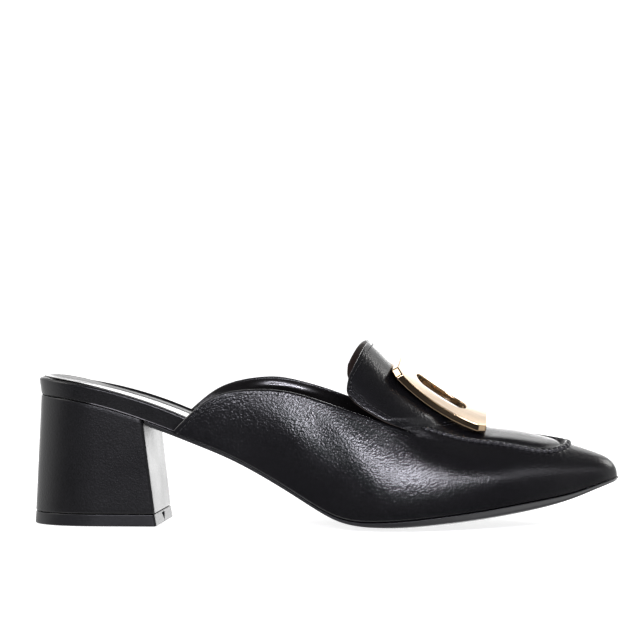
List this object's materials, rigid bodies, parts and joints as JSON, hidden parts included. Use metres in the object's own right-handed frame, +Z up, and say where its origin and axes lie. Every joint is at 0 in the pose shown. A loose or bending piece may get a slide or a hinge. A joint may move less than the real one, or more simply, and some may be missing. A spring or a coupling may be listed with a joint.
{
  "type": "heeled mule shoe",
  "caption": "Backless block-heeled loafer mule for the right foot: black leather upper, pointed toe, standing tongue, gold-coloured ring on the vamp.",
  "frame": {"origin": "on the floor, under the middle of the shoe's bounding box", "axes": "+X to the toe, +Y to the inner (medial) side of the foot, +Z up"},
  "size_m": [0.2482, 0.0774, 0.0771],
  "materials": {
    "upper_leather": "smooth black calf, fine grain, soft shine",
    "insole_leather": "black wrapped edge with a satin sock",
    "heel_leather": "smooth black leather cover",
    "outsole_rubber": "dull black",
    "lift_rubber": "dull black",
    "gold_metal": "polished pale gold"
  },
  "bodies": {
    "root": {"outsole": "outsole_rubber", "insole": "insole_leather", "upper": "upper_leather", "tongue": "upper_leather", "buckle_ring": "gold_metal", "heel_block": "heel_leather", "top_lift": "lift_rubber"}
  },
  "joints": []
}
